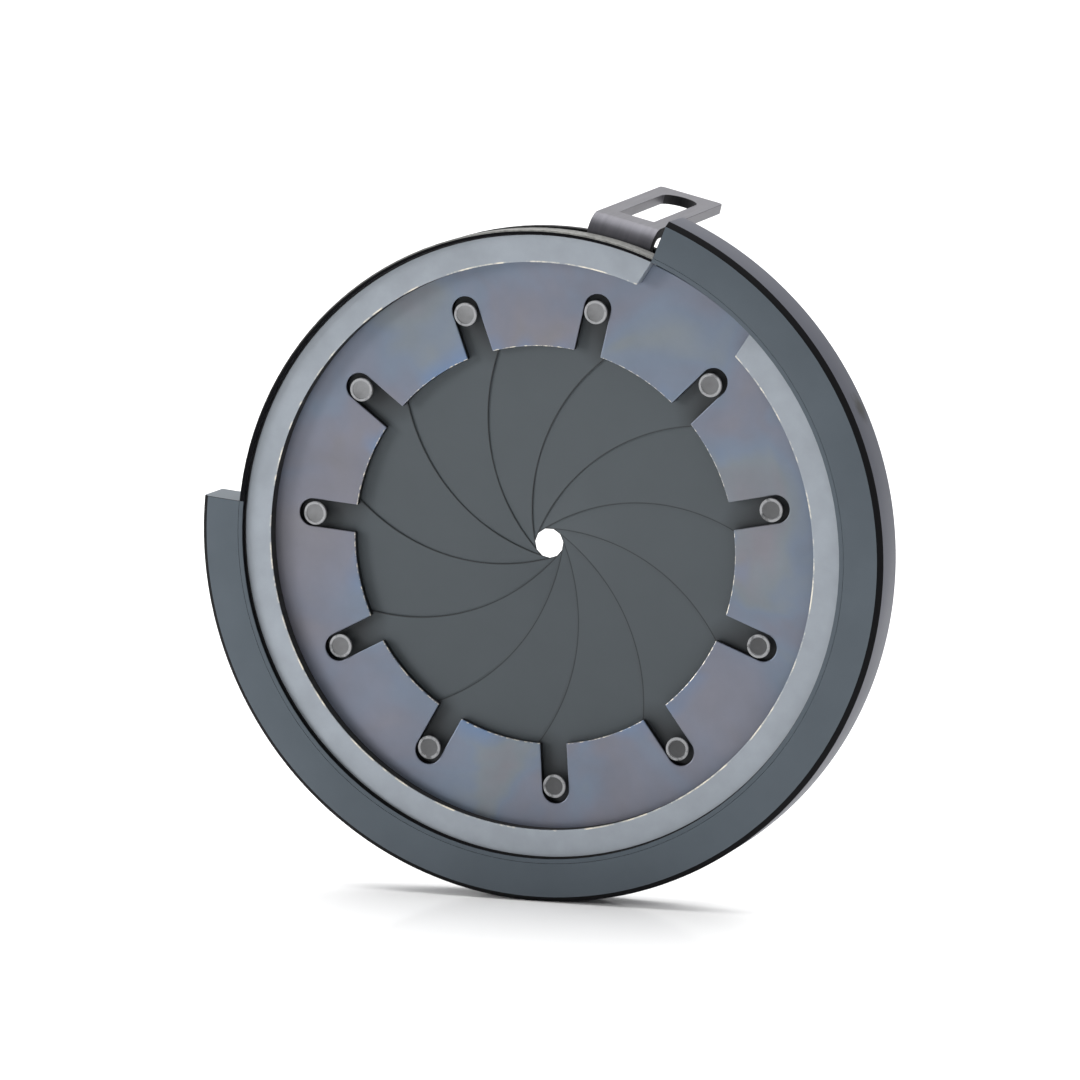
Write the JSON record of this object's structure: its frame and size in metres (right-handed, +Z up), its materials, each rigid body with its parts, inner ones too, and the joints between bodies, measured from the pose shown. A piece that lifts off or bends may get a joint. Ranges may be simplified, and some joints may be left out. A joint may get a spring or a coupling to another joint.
{
  "type": "iris diaphragm",
  "caption": "Lever-operated iris diaphragm: curved blades pivot in a ring-mounted housing and a slotted plate turns them to open or close a round aperture.",
  "frame": {"origin": "on the optical axis, in the plane of the mounting ring's back face, where the rear spigot starts", "axes": "-Y is the optical axis out of the front face, +Z is up and +X is to the right, seen from the front"},
  "size_m": [0.05, 0.0174, 0.0488],
  "materials": {
    "ring_anodised": "blue-grey anodised, satin",
    "housing_black": "matt black, bare at the worn lip",
    "snap_ring_steel": "pale satin",
    "plate_tempered": "heat-tinted, mottled blue to brown",
    "lever_steel": "satin",
    "rivet_steel": "satin",
    "blade_steel": "matt dark grey",
    "pin_steel": "satin with a bright rim"
  },
  "bodies": {
    "casing": {"mount_ring": "ring_anodised", "housing": "housing_black", "snap_ring": "snap_ring_steel"},
    "rotor": {"drive_plate": "plate_tempered", "lever": "lever_steel", "lever_rivets": "rivet_steel"},
    "leaf_01": {"blade_01": "blade_steel", "pivot_pin_01": "pin_steel", "drive_pin_01": "pin_steel"},
    "leaf_02": {"blade_02": "blade_steel", "pivot_pin_02": "pin_steel", "drive_pin_02": "pin_steel"},
    "leaf_03": {"blade_03": "blade_steel", "pivot_pin_03": "pin_steel", "drive_pin_03": "pin_steel"},
    "leaf_04": {"blade_04": "blade_steel", "pivot_pin_04": "pin_steel", "drive_pin_04": "pin_steel"},
    "leaf_05": {"blade_05": "blade_steel", "pivot_pin_05": "pin_steel", "drive_pin_05": "pin_steel"},
    "leaf_06": {"blade_06": "blade_steel", "pivot_pin_06": "pin_steel", "drive_pin_06": "pin_steel"},
    "leaf_07": {"blade_07": "blade_steel", "pivot_pin_07": "pin_steel", "drive_pin_07": "pin_steel"},
    "leaf_08": {"blade_08": "blade_steel", "pivot_pin_08": "pin_steel", "drive_pin_08": "pin_steel"},
    "leaf_09": {"blade_09": "blade_steel", "pivot_pin_09": "pin_steel", "drive_pin_09": "pin_steel"},
    "leaf_10": {"blade_10": "blade_steel", "pivot_pin_10": "pin_steel", "drive_pin_10": "pin_steel"},
    "leaf_11": {"blade_11": "blade_steel", "pivot_pin_11": "pin_steel", "drive_pin_11": "pin_steel"}
  },
  "joints": [
    {"name": "lever_swing", "type": "hinge", "parent": "casing", "child": "rotor", "pos_m": [0, 0, 0], "axis": [0, -1, 0], "range_deg": [0, 90]},
    {"name": "leaf_turn_01", "type": "hinge", "parent": "casing", "child": "leaf_01", "pos_m": [0.01532, 0, -0.00734], "axis": [0, -1, 0], "range_deg": [0, 45]},
    {"name": "leaf_turn_02", "type": "hinge", "parent": "casing", "child": "leaf_02", "pos_m": [0.00892, 0, -0.01446], "axis": [0, -1, 0], "range_deg": [0, 45]},
    {"name": "leaf_turn_03", "type": "hinge", "parent": "casing", "child": "leaf_03", "pos_m": [-0.00031, 0, -0.01698], "axis": [0, -1, 0], "range_deg": [0, 45]},
    {"name": "leaf_turn_04", "type": "hinge", "parent": "casing", "child": "leaf_04", "pos_m": [-0.00944, 0, -0.01412], "axis": [0, -1, 0], "range_deg": [0, 45]},
    {"name": "leaf_turn_05", "type": "hinge", "parent": "casing", "child": "leaf_05", "pos_m": [-0.01558, 0, -0.00677], "axis": [0, -1, 0], "range_deg": [0, 45]},
    {"name": "leaf_turn_06", "type": "hinge", "parent": "casing", "child": "leaf_06", "pos_m": [-0.01677, 0, 0.00273], "axis": [0, -1, 0], "range_deg": [0, 45]},
    {"name": "leaf_turn_07", "type": "hinge", "parent": "casing", "child": "leaf_07", "pos_m": [-0.01263, 0, 0.01136], "axis": [0, -1, 0], "range_deg": [0, 45]},
    {"name": "leaf_turn_08", "type": "hinge", "parent": "casing", "child": "leaf_08", "pos_m": [-0.00448, 0, 0.01638], "axis": [0, -1, 0], "range_deg": [0, 45]},
    {"name": "leaf_turn_09", "type": "hinge", "parent": "casing", "child": "leaf_09", "pos_m": [0.00508, 0, 0.01621], "axis": [0, -1, 0], "range_deg": [0, 45]},
    {"name": "leaf_turn_10", "type": "hinge", "parent": "casing", "child": "leaf_10", "pos_m": [0.01304, 0, 0.01088], "axis": [0, -1, 0], "range_deg": [0, 45]},
    {"name": "leaf_turn_11", "type": "hinge", "parent": "casing", "child": "leaf_11", "pos_m": [0.01685, 0, 0.00211], "axis": [0, -1, 0], "range_deg": [0, 45]}
  ],
  "couplings": [
    {"joint": "leaf_turn_01", "follows": "lever_swing", "ratio": 0.5},
    {"joint": "leaf_turn_02", "follows": "lever_swing", "ratio": 0.5},
    {"joint": "leaf_turn_03", "follows": "lever_swing", "ratio": 0.5},
    {"joint": "leaf_turn_04", "follows": "lever_swing", "ratio": 0.5},
    {"joint": "leaf_turn_05", "follows": "lever_swing", "ratio": 0.5},
    {"joint": "leaf_turn_06", "follows": "lever_swing", "ratio": 0.5},
    {"joint": "leaf_turn_07", "follows": "lever_swing", "ratio": 0.5},
    {"joint": "leaf_turn_08", "follows": "lever_swing", "ratio": 0.5},
    {"joint": "leaf_turn_09", "follows": "lever_swing", "ratio": 0.5},
    {"joint": "leaf_turn_10", "follows": "lever_swing", "ratio": 0.5},
    {"joint": "leaf_turn_11", "follows": "lever_swing", "ratio": 0.5}
  ]
}
